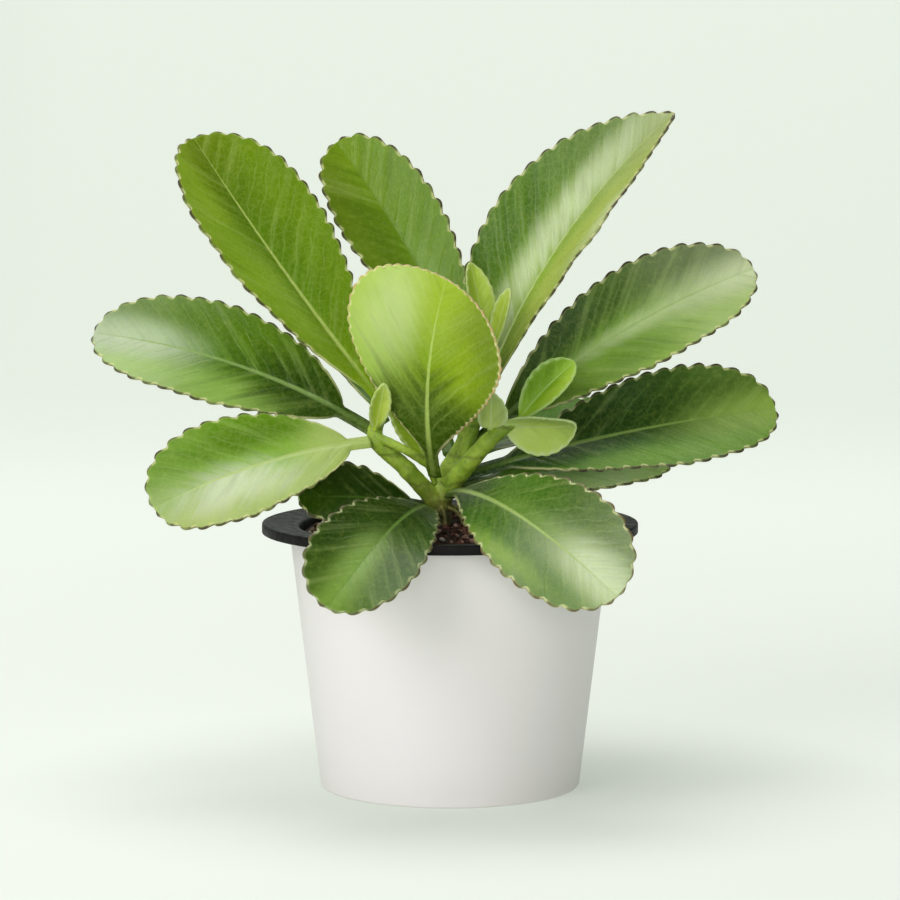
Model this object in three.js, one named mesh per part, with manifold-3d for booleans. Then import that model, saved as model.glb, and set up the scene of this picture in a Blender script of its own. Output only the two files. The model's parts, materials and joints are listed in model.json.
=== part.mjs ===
// A potted kalanchoe: a leafy succulent in a black nursery pot that hangs in a white planter.
// Millimetres, +Z up. The origin is the centre of the planter's base, on the floor.
// The side that the photograph shows faces -Y.
import * as THREE from "three";
import { mergeVertices } from "three/addons/utils/BufferGeometryUtils.js";
import Module from "manifold-3d";

const wasm = await Module();
wasm.setup();

const { clamp, degToRad, lerp } = THREE.MathUtils;

// ---------- driving sizes ----------

const CLEARANCE = 0.3; // gap between two pieces that lie together

// Facets round each kind of round piece.
const facets = { pot: 52, soil: 28, hole: 12, shoot: 8, root: 5 };

const planter = {
  height: 105,
  topRadius: 65,
  baseRadius: 52.5,
  wall: 2.2,
  floor: 3,
  bevel: 1.2, // at the outer foot
  rimRound: 0.6,
  corner: 3, // sloped corner inside, between floor and wall
};

const liner = {
  topRadius: 61.4, // outside, where it passes the planter's mouth
  baseRadius: 47,
  baseHeight: 8,
  wall: 1.3,
  bevel: 1.5,
  lipRadius: 76,
  lipTop: 107.6,
  lipDrop: 4, // height of the skirt that hangs from the lip
  lipRound: 1,
  drainHoles: 6,
  drainRadius: 4,
  drainCircle: 30,
};

const soil = {
  edgeHeight: 103.2,
  crownHeight: 106.4,
  wallGap: 0.6,
  ripple: 0.5, // height of the rings on the mound, and how fast they follow each other
  rippleTurn: 2,
  radialSteps: 7,
  chips: 26,
  chipSize: { least: 2.4, most: 4.4 },
  chipShape: [1, 0.7, 0.55],
  chipRing: 22, // no chip lies nearer to the axis than this
  chipTilt: 0.7, // radians
  chipTurn: 2.4, // radians from one chip to the next
  seed: 21,
};

const stemAxis = { x: -4, y: 0 }; // where the main stem leaves the soil
const STEM_FOOT = 78; // height of the stem's lower end, down in the soil

const roots = {
  count: 7,
  radius: 0.8,
  start: 1.5, // distance from the stem's axis
  top: { least: 113, most: 116 },
  reach: { least: 7.2, most: 14.4 },
  knee: 0.7, // share of the reach where a root bends down
  arch: 9, // height of the knee over the root's foot
  depth: 4,
  scatter: 0.6, // largest turn from an even spacing, as a share of it
  steps: 5,
  seed: 7,
};

const blade = {
  middle: 2.3, // thickness along the midrib
  margin: 1.1, // thickness at the edge
  footGain: 1.25, // the midrib's thickness at the foot, as a share of its usual one
  tipGain: 0.8, // and at the tip
  youngWidth: 25, // a leaf narrower than this is young and thinner
  youngGain: 0.75,
  leastMargin: 0.9,
  thinning: 1.5, // a higher power keeps more of the half width thick
  foldRound: 2, // half width of the rounded valley over the midrib
  stations: 10, // steps along the inner columns of the mesh
  lastStation: 0.97,
  innerColumn: 0.55, // place of the inner column between midrib and edge
};

// Tooth outline. bareFoot is the share of the edge that has no teeth at the foot. fade is how many teeth
// grow in from there, and also the millimetres over which they fade at the tip. A higher lean moves the
// crown of a tooth to the tip, and notch is how far the valleys lie inside the plain edge. bareSteps are
// the points along the bare foot, as shares of it.
const tooth = {
  bareFoot: 0.1,
  bareSteps: [0, 0.45, 0.8, 0.97],
  fade: 3,
  lean: 1.5,
  bulge: 0.8,
  notch: 0.35,
};
const coarse = { pitch: 7.4, depth: 1.5, stalkHalfWidth: 3, steps: [0, 0.35, 0.7] };
const fine = { pitch: 4.2, depth: 0.8, stalkHalfWidth: 3, steps: [0, 0.6] };
const slight = { pitch: 4, depth: 0.3, stalkHalfWidth: 1.3, steps: [0, 0.55] };

// One row for each leaf. base and tip are the two ends of the midrib. faces is the direction that the
// upper side looks to: the turn about Z from +X and the rise above level, in degrees. arch and sweep bow
// the midrib towards the upper side and sideways, cup lifts both edges, and fold turns each half up by
// that many degrees. taper shapes the outline, a power for the foot and one for the tip, and stalk is
// the share of the length that the bare leaf stalk takes.
const leaves = [
  { name: "leaf_upper_left", base: [-26, -4, 154], tip: [-105, 34, 261], faces: [-62, 25], width: 57,
    arch: 0, sweep: -2, cup: 2, fold: 18, taper: [0.95, 0.5], stalk: 0.08, teeth: coarse, tint: 0x6f9c22 },
  { name: "leaf_back_left", base: [11, 4, 158], tip: [-47, 48, 259], faces: [-92, 25], width: 42,
    arch: -3, sweep: 5, cup: 2, fold: 10, taper: [0.9, 0.45], stalk: 0.12, teeth: coarse, tint: 0x5f9033 },
  { name: "leaf_front_centre", base: [-6, -10, 127], tip: [-1, -46, 208], faces: [-113, 25], width: 76,
    arch: 4, sweep: -3, cup: 4, fold: 6, taper: [1.2, 0.45], stalk: 0.12, teeth: fine, tint: 0xa6c94a },
  { name: "leaf_upper_right", base: [8, 2, 138], tip: [92, 36, 271.5], faces: [-132, 20], width: 66,
    arch: -2, sweep: -18, cup: 0, fold: 33, taper: [1.0, 0.95], stalk: 0.12, teeth: coarse, tint: 0x6c9a2c },
  { name: "leaf_right", base: [11, 1, 139.5], tip: [124, 26, 208], faces: [-92, 30], width: 46,
    arch: 3, sweep: -6, cup: 3, fold: 10, taper: [0.85, 0.5], stalk: 0.13, teeth: coarse, tint: 0x6a9550 },
  { name: "leaf_lower_right", base: [3, -6, 126], tip: [132, 10, 152], faces: [-95, 35], width: 46,
    arch: 3, sweep: -2, cup: 3, fold: 10, taper: [0.95, 0.45], stalk: 0.16, teeth: coarse, tint: 0x3f6a1c },
  { name: "leaf_under_right", base: [3, -2, 122], tip: [89, 22, 132], faces: [-90, 50], width: 34,
    arch: 0, sweep: 0, cup: 2, fold: 8, taper: [0.9, 0.4], stalk: 0.16, teeth: coarse, tint: 0x5b8636 },
  { name: "leaf_front_right", base: [0, -10, 120], tip: [63, -100, 91], faces: [-108, 42], width: 50,
    arch: 17, sweep: 0, cup: 2, fold: 8, taper: [1.3, 0.5], stalk: 0.1, teeth: coarse, tint: 0x5d8c36 },
  { name: "leaf_lower_left", base: [-32, -13, 141], tip: [-116, -42, 117.5], faces: [-90, 40], width: 49,
    arch: 3, sweep: 3, cup: 2, fold: 8, taper: [0.72, 0.42], stalk: 0.1, teeth: coarse, tint: 0x6a9c36 },
  { name: "leaf_left", base: [-31, -8, 145], tip: [-145, 19, 182], faces: [-92, 40], width: 48,
    arch: 3, sweep: 6, cup: 2, fold: 8, taper: [0.7, 0.5], stalk: 0.13, teeth: coarse, tint: 0x64904c },
  { name: "leaf_shaded_left", base: [-9, 0, 113], tip: [-60, -30, 120.5], faces: [-80, 38], width: 30,
    arch: 3, sweep: 0, cup: 2, fold: 8, taper: [0.85, 0.42], stalk: 0.14, teeth: coarse, tint: 0x2f4f16 },
  { name: "leaf_front_left", base: [-6, -4, 110.5], tip: [-46, -102, 87], faces: [-86, 42], width: 44,
    arch: 19, sweep: -2, cup: 2, fold: 8, taper: [1.5, 0.5], stalk: 0.14, teeth: coarse, tint: 0x5f8a3a },
  { name: "leaf_young_right", base: [27.5, -14.5, 150], tip: [50, -10, 173], faces: [-100, 20], width: 16,
    arch: 0, sweep: -1, cup: 3, fold: 20, taper: [0.8, 0.6], stalk: 0.05, teeth: slight, tint: 0x8fc03a },
  { name: "leaf_cupped_right", base: [21, -18, 149], tip: [50, -22, 149], faces: [-90, -30], width: 20,
    arch: -3, sweep: 3, cup: 5, fold: 20, taper: [0.6, 0.6], stalk: 0.04, teeth: slight, tint: 0xa8c878 },
  { name: "leaf_tip_left", base: [15, 5, 178], tip: [8, 6, 212], faces: [-60, 10], width: 13,
    arch: 0, sweep: 0, cup: 2, fold: 20, taper: [0.8, 0.7], stalk: 0.05, teeth: slight, tint: 0xa3c25a },
  { name: "leaf_tip_right", base: [17.5, 2.5, 177], tip: [24, 0, 202], faces: [-130, 10], width: 9,
    arch: 0, sweep: 0, cup: 1, fold: 25, taper: [0.8, 0.7], stalk: 0.05, teeth: slight, tint: 0xb4cf62 },
  { name: "leaf_node_left", base: [-30, -13, 146], tip: [-26, -27, 166], faces: [-80, 10], width: 9,
    arch: 0, sweep: 0, cup: 1, fold: 20, taper: [0.8, 0.7], stalk: 0.05, teeth: slight, tint: 0xa3c24a },
  { name: "leaf_inner_left", base: [-6, -3, 123], tip: [-23.5, -10.5, 161], faces: [-95, 10], width: 13,
    arch: 0, sweep: 1, cup: 1, fold: 20, taper: [0.9, 0.7], stalk: 0.25, teeth: slight, tint: 0x8fb03c },
  { name: "leaf_bract_right", base: [16, -18, 146.5], tip: [16.5, -22, 162], faces: [-80, -10], width: 13,
    arch: 0, sweep: 0, cup: 3, fold: 20, taper: [0.6, 0.8], stalk: 0.05, teeth: slight, tint: 0xb4cf86 },
  { name: "leaf_far_centre", base: [0, 4, 134], tip: [-16, 86, 172], faces: [-80, 62], width: 44,
    arch: 4, sweep: 0, cup: 2, fold: 8, taper: [0.9, 0.45], stalk: 0.12, teeth: coarse, tint: 0x5f9033 },
  { name: "leaf_far_right", base: [3.5, 3, 131.5], tip: [87, 84, 140.5], faces: [-100, 72], width: 40,
    arch: 6, sweep: 0, cup: 2, fold: 8, taper: [0.9, 0.45], stalk: 0.12, teeth: coarse, tint: 0x527d2c },
  { name: "leaf_far_left", base: [-27, -6, 149], tip: [-52, 80, 196], faces: [-60, 60], width: 36,
    arch: 0, sweep: 0, cup: 2, fold: 8, taper: [0.9, 0.45], stalk: 0.12, teeth: coarse, tint: 0x5f9033 },
  { name: "leaf_far_low", base: [-1, 2, 118], tip: [41, 84, 111], faces: [-90, 80], width: 40,
    arch: 2, sweep: 0, cup: 2, fold: 8, taper: [0.9, 0.45], stalk: 0.12, teeth: coarse, tint: 0x4d7628 },
];

// Each shoot is a row of points with the shoot's radius there: [x, y, z, radius].
const shoots = [
  [[-4, 0, STEM_FOOT, 4.2], [-4, 0, 106, 4.8], [-4, 0, 117, 5], [1, 0, 130, 4.4], [7, 2, 141, 4],
    [12, 4, 162, 3], [16, 4, 180, 2.2]],
  [[-4, -1, 114, 4], [-18, -7, 130, 3.5], [-30, -10, 143, 3.4], [-27, -7, 153, 2.4]],
  [[0, -4, 122, 3.8], [8, -11, 133, 3.9], [19, -16, 145, 3.1], [28, -15, 150, 1.9]],
  [[-29, -12, 143, 1.8], [-18, -14, 138, 1.8], [-6, -8, 130, 2]],
  [[0, -4, 120, 2.6], [6, -7, 138, 2.3], [13, -9, 156, 1.8], [17, -9, 170, 1.2]],
];
const SHOOT_STEPS = 4; // between two points of a shoot

// ---------- helpers ----------

// Seeded draws between 0 and 1.
function makeRandom(seed) {
  let state = seed;
  return () => {
    state = (state * 1664525 + 1013904223) % 4294967296;
    return state / 4294967296;
  };
}

const draw = (random, { least, most }) => lerp(least, most, random());

const circlePoint = (radius, angle) => [radius * Math.cos(angle), radius * Math.sin(angle)];

// A solid from a closed geometry. Triangles that shrink to a line on a turning axis are left out.
function solidOf(geometry) {
  geometry.deleteAttribute("normal");
  geometry.deleteAttribute("uv");
  const merged = mergeVertices(geometry);
  const corners = merged.getIndex().array;
  const triangles = [];
  for (let i = 0; i < corners.length; i += 3) {
    const [a, b, c] = corners.slice(i, i + 3);
    if (a !== b && b !== c && c !== a) triangles.push(a, b, c);
  }
  return new wasm.Manifold(new wasm.Mesh({
    numProp: 3,
    vertProperties: Float32Array.from(merged.getAttribute("position").array),
    triVerts: Uint32Array.from(triangles),
  }));
}

function geometryOf(solid) {
  const mesh = solid.getMesh();
  const geometry = new THREE.BufferGeometry();
  geometry.setAttribute("position", new THREE.BufferAttribute(Float32Array.from(mesh.vertProperties), 3));
  geometry.setIndex(new THREE.BufferAttribute(Uint32Array.from(mesh.triVerts), 1));
  geometry.computeVertexNormals();
  return geometry;
}

function largestPiece(solid) {
  const pieces = solid.decompose();
  pieces.sort((a, b) => b.volume() - a.volume());
  return pieces[0];
}

function addPiece(group, name, solid, colour, roughness) {
  const material = new THREE.MeshStandardMaterial({ color: colour, roughness, metalness: 0 });
  const mesh = new THREE.Mesh(geometryOf(solid), material);
  mesh.name = name;
  group.add(mesh);
}

// A round piece: half a section, in points of [radius, height] from axis to axis, turned about +Z.
function turned(section, sides) {
  const profile = section.map(([radius, height]) => new THREE.Vector2(radius, height));
  return solidOf(new THREE.LatheGeometry(profile, sides).rotateX(Math.PI / 2));
}

// A round tube through points of [x, y, z, radius]. extra makes it that much wider all round.
// A tube of radius 1 is extruded along the curve, and each of its rings is then drawn out to its radius.
function taperedTube(points, sides, steps, extra) {
  const curve = new THREE.CatmullRomCurve3(points.map(([x, y, z]) => new THREE.Vector3(x, y, z)));
  const ring = Array.from({ length: sides }, (_, i) => {
    const [x, y] = circlePoint(1, (2 * Math.PI * i) / sides);
    return new THREE.Vector2(x, y);
  });
  const tube = new THREE.ExtrudeGeometry(new THREE.Shape(ring), {
    steps,
    extrudePath: curve,
    bevelEnabled: false,
  });
  const centres = curve.getSpacedPoints(steps);
  const radii = centres.map((_, step) => {
    const along = curve.getUtoTmapping(step / steps) * (points.length - 1);
    const index = Math.min(Math.floor(along), points.length - 2);
    return lerp(points[index][3], points[index + 1][3], along - index) + extra;
  });
  const corners = tube.getAttribute("position");
  const corner = new THREE.Vector3();
  for (let i = 0; i < corners.count; i += 1) {
    corner.fromBufferAttribute(corners, i);
    const distances = centres.map((centre) => centre.distanceTo(corner));
    const step = distances.indexOf(Math.min(...distances));
    corner.sub(centres[step]).multiplyScalar(radii[step]).add(centres[step]);
    if (step === 0) corner.addScaledVector(curve.getTangentAt(0), -extra);
    if (step === steps) corner.addScaledVector(curve.getTangentAt(1), extra);
    corners.setXYZ(i, corner.x, corner.y, corner.z);
  }
  return solidOf(tube);
}

// ---------- pots ----------

function planterSolid() {
  const { height, topRadius, baseRadius, wall, floor, bevel, rimRound, corner } = planter;
  const outside = (z) => lerp(baseRadius, topRadius, z / height);
  const inside = (z) => outside(z) - wall;
  return turned([
    [0, 0],
    [baseRadius - bevel, 0],
    [outside(bevel), bevel],
    [outside(height - rimRound), height - rimRound],
    [topRadius - rimRound, height],
    [topRadius - wall + rimRound, height],
    [inside(height - rimRound), height - rimRound],
    [inside(floor + corner), floor + corner],
    [inside(floor) - corner, floor],
    [0, floor],
  ], facets.pot);
}

function linerSolid() {
  const { topRadius, baseRadius, baseHeight, wall, bevel, lipRadius, lipTop, lipDrop, lipRound } = liner;
  const seat = planter.height + CLEARANCE; // the lip's underside, on the planter's rim
  const ledge = planter.topRadius + 1; // the underside is flat out to here
  const skirt = lipRadius - wall;
  const body = turned([
    [0, baseHeight],
    [baseRadius - bevel, baseHeight],
    [baseRadius, baseHeight + bevel],
    [topRadius, seat - lipRound],
    [topRadius + lipRound, seat],
    [ledge, seat],
    [skirt - lipRound, lipTop - wall],
    [skirt, lipTop - wall - lipRound],
    [skirt, lipTop - lipDrop],
    [lipRadius, lipTop - lipDrop],
    [lipRadius, lipTop - lipRound],
    [lipRadius - lipRound, lipTop],
    [ledge, seat + wall],
    [topRadius, seat + wall - lipRound / 2],
    [topRadius - wall, seat - lipRound],
    [baseRadius - wall, baseHeight + wall + bevel],
    [baseRadius - wall - bevel, baseHeight + wall],
    [0, baseHeight + wall],
  ], facets.pot);
  const holes = [];
  for (let i = 0; i < liner.drainHoles; i += 1) {
    const [x, y] = circlePoint(liner.drainCircle, (2 * Math.PI * i) / liner.drainHoles);
    const hole = new THREE.CylinderGeometry(liner.drainRadius, liner.drainRadius, 4 * wall, facets.hole);
    holes.push(solidOf(hole.rotateX(Math.PI / 2).translate(x, y, baseHeight + wall / 2)));
  }
  return body.subtract(wasm.Manifold.union(holes));
}

// ---------- stem and roots ----------

function rootSolid(angle, random, extra) {
  const reach = draw(random, roots.reach);
  const foot = soil.crownHeight - roots.depth;
  const at = (distance, height) => {
    const [x, y] = circlePoint(distance, angle);
    return [stemAxis.x + x, stemAxis.y + y, height, roots.radius];
  };
  const top = at(roots.start, draw(random, roots.top));
  const knee = at(roots.knee * reach, foot + roots.arch);
  return taperedTube([top, knee, at(reach, foot)], facets.root, roots.steps, extra);
}

// The grown stem with its shoots and air roots. extra is the room round it for a hole that it stands in.
function stemSolid(extra) {
  const tubes = shoots.map(
    (points) => taperedTube(points, facets.shoot, SHOOT_STEPS * (points.length - 1), extra));
  const random = makeRandom(roots.seed);
  for (let i = 0; i < roots.count; i += 1) {
    const angle = (2 * Math.PI * (i + roots.scatter * random())) / roots.count;
    tubes.push(rootSolid(angle, random, extra));
  }
  return wasm.Manifold.union(tubes);
}

// ---------- soil ----------

function soilHeight(radius) {
  const share = Math.min(radius / liner.topRadius, 1);
  return lerp(soil.crownHeight, soil.edgeHeight, share * share);
}

// The liner's inner radius at a height, less the gap to the soil.
function soilRadius(z) {
  const share = (z - liner.baseHeight) / (planter.height - liner.baseHeight);
  return lerp(liner.baseRadius, liner.topRadius, share) - liner.wall - soil.wallGap;
}

function chipSolid(number, random) {
  const outermost = soilRadius(soil.edgeHeight) - soil.chipSize.most;
  const radius = lerp(soil.chipRing, outermost, Math.sqrt((number + random()) / soil.chips));
  const [x, y] = circlePoint(radius, soil.chipTurn * number);
  const size = draw(random, soil.chipSize);
  return solidOf(new THREE.OctahedronGeometry(size)
    .scale(...soil.chipShape)
    .rotateX(soil.chipTilt * random())
    .rotateY(soil.chipTilt * random())
    .rotateZ(2 * Math.PI * random())
    .translate(x, y, soilHeight(radius)));
}

function soilSolid() {
  const floor = liner.baseHeight + liner.wall + CLEARANCE;
  const corner = liner.bevel + soil.wallGap;
  const edge = soilRadius(soil.edgeHeight);
  const section = [
    [0, floor],
    [soilRadius(floor) - corner, floor],
    [soilRadius(floor + corner), floor + corner],
    [edge, soil.edgeHeight],
  ];
  for (let i = soil.radialSteps - 1; i > 0; i -= 1) {
    const radius = (edge * i) / soil.radialSteps;
    section.push([radius, soilHeight(radius) + soil.ripple * Math.sin(soil.rippleTurn * i)]);
  }
  section.push([0, soil.crownHeight]);
  const random = makeRandom(soil.seed);
  const chips = [];
  for (let i = 0; i < soil.chips; i += 1) chips.push(chipSolid(i, random));
  const mound = turned(section, facets.soil).add(wasm.Manifold.union(chips));
  return largestPiece(mound.subtract(stemSolid(CLEARANCE)));
}

// ---------- leaves ----------

function directionOf([turn, rise]) {
  const level = Math.cos(degToRad(rise));
  const [x, y] = circlePoint(level, degToRad(turn));
  return new THREE.Vector3(x, y, Math.sin(degToRad(rise)));
}

// Half the width of a leaf at a share t of its length, in the flat.
function halfWidth(leaf, t) {
  const [foot, tip] = leaf.taper;
  const stalk = leaf.teeth.stalkHalfWidth;
  const q = clamp((t - leaf.stalk) / (1 - leaf.stalk), 0, 1);
  const peak = foot / (foot + tip);
  const outline = (q ** foot * (1 - q) ** tip) / (peak ** foot * (1 - peak) ** tip);
  return stalk * Math.sqrt(1 - q ** 4) + (leaf.width / 2 - stalk) * outline;
}

// The smooth edge of a flat leaf: x runs along the midrib and y away from it.
class LeafEdge extends THREE.Curve {
  constructor(leaf, length) {
    super();
    this.leaf = leaf;
    this.length = length;
  }

  getPoint(u, target = new THREE.Vector2()) {
    const t = 1 - (1 - u) ** 2; // closer together towards the rounded tip
    return target.set(t * this.length, halfWidth(this.leaf, t));
  }
}

// The flat edge of a leaf, from its foot to its tip, with rounded teeth that lean towards the tip.
function toothedEdge(leaf, length) {
  const edge = new LeafEdge(leaf, length);
  const total = edge.getLength();
  const stalkEnd = length * leaf.stalk;
  const start = lerp(stalkEnd, length, tooth.bareFoot);
  const count = Math.round((total - start) / leaf.teeth.pitch);
  const points = tooth.bareSteps.map((share) => edge.getPointAt((share * start) / total));
  for (let i = 0; i < count; i += 1) {
    for (const step of leaf.teeth.steps) {
      const u = (start + ((total - start) * (i + step)) / count) / total;
      const growth = Math.min((i + step) / tooth.fade, 1, (total * (1 - u)) / tooth.fade);
      const crown = Math.sin(Math.PI * step ** tooth.lean) ** tooth.bulge;
      const rise = leaf.teeth.depth * growth * (crown - tooth.notch);
      const tangent = edge.getTangentAt(u);
      points.push(edge.getPointAt(u).add(new THREE.Vector2(-rise * tangent.y, rise * tangent.x)));
    }
  }
  return points;
}

// The bent sheet of a leaf, on which flat places are laid: x along the midrib and y away from it.
class BentBlade {
  constructor(leaf) {
    this.leaf = leaf;
    this.face = directionOf(leaf.faces);
    this.fold = degToRad(leaf.fold);
    const base = new THREE.Vector3(...leaf.base);
    const tip = new THREE.Vector3(...leaf.tip);
    const chord = tip.clone().sub(base).normalize();
    const across = chord.clone().cross(this.face).normalize();
    const upward = across.clone().cross(chord);
    const bend = base.clone().lerp(tip, 0.5)
      .addScaledVector(upward, 2 * leaf.arch)
      .addScaledVector(across, 2 * leaf.sweep);
    this.midrib = new THREE.QuadraticBezierCurve3(base, bend, tip);
    this.length = this.midrib.getLength();
  }

  // Thickness at a share u of the length. rim is 0 on the midrib and 1 at the edge.
  thicknessAt(u, rim) {
    const gain = this.leaf.width < blade.youngWidth ? blade.youngGain : 1;
    const middle = blade.middle * gain * lerp(blade.footGain, blade.tipGain, u);
    return lerp(middle, Math.max(blade.margin * gain, blade.leastMargin), rim ** blade.thinning);
  }

  // The upper and the lower point of the blade over a flat place.
  pointsAt(x, y, rim) {
    const { leaf, fold, length, midrib } = this;
    const u = clamp(x / length, 0, 1);
    const along = midrib.getTangentAt(u);
    const side = along.clone().cross(this.face).normalize();
    const up = side.clone().cross(along);
    const share = y / (leaf.width / 2);
    const rounded = Math.hypot(y, blade.foldRound);
    const lift = leaf.cup * share ** 2 + (rounded - blade.foldRound) * Math.sin(fold);
    const slope = (2 * leaf.cup * share) / (leaf.width / 2) + (y / rounded) * Math.sin(fold);
    const middle = midrib.getPointAt(u)
      .addScaledVector(along, x - u * length)
      .addScaledVector(side, y * Math.cos(fold))
      .addScaledVector(up, lift);
    const normal = up.multiplyScalar(Math.cos(fold)).addScaledVector(side, -slope).normalize();
    const half = this.thicknessAt(u, rim) / 2;
    return [middle.clone().addScaledVector(normal, half), middle.addScaledVector(normal, -half)];
  }
}

// The closed mesh of a leaf. Each site is a flat place with its upper and its lower point. Both faces are
// split into the same triangles, between the midrib, an inner column and the toothed edge.
function leafSolid(leaf) {
  const sheet = new BentBlade(leaf);
  const points = [];
  const triangles = [];

  function addSite(x, y, rim) {
    points.push(...sheet.pointsAt(x, y, rim));
    return { upper: points.length - 2, lower: points.length - 1, x };
  }

  function addBoth(a, b, c, sign) {
    const [second, third] = sign > 0 ? [b, c] : [c, b];
    triangles.push(a.upper, second.upper, third.upper);
    triangles.push(a.lower, third.lower, second.lower);
  }

  // Fills the strip between two columns, always stepping on the one that lags behind.
  function fillStrip(near, far, sign) {
    let i = 0;
    let j = 0;
    while (i < near.length - 1 || j < far.length - 1) {
      const stepFar = i === near.length - 1 || (j < far.length - 1 && far[j + 1].x <= near[i + 1].x);
      const next = stepFar ? far[j + 1] : near[i + 1];
      addBoth(near[i], far[j], next, sign);
      if (stepFar) j += 1;
      else i += 1;
    }
  }

  function addWall(first, second, sign) {
    const [a, b] = sign > 0 ? [first, second] : [second, first];
    triangles.push(a.upper, a.lower, b.upper);
    triangles.push(b.upper, a.lower, b.lower);
  }

  const stations = [0, leaf.stalk / 2];
  for (let i = 0; i < blade.stations; i += 1) {
    stations.push(lerp(leaf.stalk, blade.lastStation, i / (blade.stations - 1)));
  }
  const edge = toothedEdge(leaf, sheet.length);
  const rib = stations.map((t) => addSite(t * sheet.length, 0, 0));
  const tip = addSite(sheet.length, 0, 1);
  for (const sign of [1, -1]) {
    const innerWidth = (t) => sign * blade.innerColumn * halfWidth(leaf, t);
    const inner = stations.map((t) => addSite(t * sheet.length, innerWidth(t), blade.innerColumn));
    const outer = [...edge.map(({ x, y }) => addSite(x, sign * y, 1)), tip];
    fillStrip(rib, inner, sign);
    fillStrip(inner, outer, sign);
    addBoth(rib.at(-1), inner.at(-1), tip, sign);
    for (let i = 0; i < outer.length - 1; i += 1) addWall(outer[i], outer[i + 1], sign);
    addWall(inner[0], outer[0], sign);
    addWall(rib[0], inner[0], sign);
  }
  return solidOf(new THREE.BufferGeometry().setFromPoints(points).setIndex(triangles));
}

// ---------- the plant in its pots ----------

const group = new THREE.Group();
addPiece(group, "planter", planterSolid(), 0xe6e4df, 0.5);
addPiece(group, "nursery_pot", linerSolid(), 0x17171a, 0.45);
addPiece(group, "soil", soilSolid(), 0x4a352a, 0.95);
addPiece(group, "stem", stemSolid(0), 0x8aa552, 0.6);

const stemRoom = stemSolid(CLEARANCE);
for (const leaf of leaves) {
  addPiece(group, leaf.name, largestPiece(leafSolid(leaf).subtract(stemRoom)), leaf.tint, 0.45);
}

export default group;
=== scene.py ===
"""A potted kalanchoe: the fine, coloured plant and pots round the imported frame."""

import json
import math
import random

import bpy
import numpy as np
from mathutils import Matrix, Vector, noise


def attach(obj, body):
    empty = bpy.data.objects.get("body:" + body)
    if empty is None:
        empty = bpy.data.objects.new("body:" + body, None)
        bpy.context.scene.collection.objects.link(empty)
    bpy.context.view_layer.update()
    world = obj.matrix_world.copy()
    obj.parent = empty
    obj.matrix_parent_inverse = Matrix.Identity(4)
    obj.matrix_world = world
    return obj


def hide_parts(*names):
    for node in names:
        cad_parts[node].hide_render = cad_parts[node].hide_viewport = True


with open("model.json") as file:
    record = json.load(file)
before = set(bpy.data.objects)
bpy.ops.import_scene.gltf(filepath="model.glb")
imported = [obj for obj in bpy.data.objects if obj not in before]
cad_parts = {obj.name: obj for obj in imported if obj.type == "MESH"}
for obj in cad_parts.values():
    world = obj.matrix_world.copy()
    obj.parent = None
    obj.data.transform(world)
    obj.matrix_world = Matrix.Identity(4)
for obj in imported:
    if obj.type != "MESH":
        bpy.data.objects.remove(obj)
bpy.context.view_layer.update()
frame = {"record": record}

MM = 0.001

# ----- camera -----

MM_PER_PIXEL = 0.4037  # at the planter's axis
IMAGE_SIDE = 900
SENSOR = 36
CAMERA_DISTANCE = 1500
CAMERA_RISE = math.radians(6)
AIM_HEIGHT = 136.5
CLIP = (0.05, 50)  # in metres


def make_camera():
    data = bpy.data.cameras.new("camera")
    data.sensor_width = SENSOR
    data.lens = SENSOR * CAMERA_DISTANCE / (MM_PER_PIXEL * IMAGE_SIDE)
    data.clip_start, data.clip_end = CLIP
    camera = bpy.data.objects.new("camera", data)
    back = Vector((0, -math.cos(CAMERA_RISE), math.sin(CAMERA_RISE)))
    camera.location = (Vector((0, 0, AIM_HEIGHT)) + back * CAMERA_DISTANCE) * MM
    camera.rotation_euler = (-back).to_track_quat("-Z", "Y").to_euler()
    bpy.context.scene.collection.objects.link(camera)
    bpy.context.scene.camera = camera


make_camera()

# ----- driving sizes, in millimetres as in the frame -----

# flare is how far the planter's wall leans out from its foot to its floor.
PLANTER = {
    "height": 105, "top": 65, "base": 52.5, "wall": 2.2, "floor": 3, "flare": 0.3,
    "foot_round": 1.2, "rim_round": 0.7, "floor_round": 2,
}
# ledge is how far the nursery pot's ledge reaches past the planter's rim.
LINER = {
    "top": 61.4, "base": 47, "base_height": 8, "wall": 1.3,
    "lip": 76, "lip_top": 107.6, "lip_drop": 4, "ledge": 1, "inset": 0.4,
    "foot_round": 1.5, "bend": 0.8, "crease": 0.3, "lip_round": 0.9, "mouth_round": 1,
    "holes": 6, "hole_radius": 4, "hole_circle": 30,
}
SOIL = {"edge_height": 103.2, "crown_height": 106.4, "wall_gap": 0.6}
CLEARANCE = 0.3
STEM_AXIS = (-4, 0)

BLADE_MIDDLE = 2.3
BLADE_MARGIN = 1.1
FOLD_ROUND = 2
MIDRIB_SAMPLES = 401

# Leaf edges: the teeth's pitch and depth, half the stalk's width, and the rows for each tooth.
COARSE = {"pitch": 7.4, "depth": 1.5, "stalk": 3.0, "samples": 7}
FINE = {"pitch": 4.2, "depth": 0.8, "stalk": 3.0, "samples": 5}
SLIGHT = {"pitch": 4.0, "depth": 0.3, "stalk": 1.3, "samples": 5}


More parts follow.
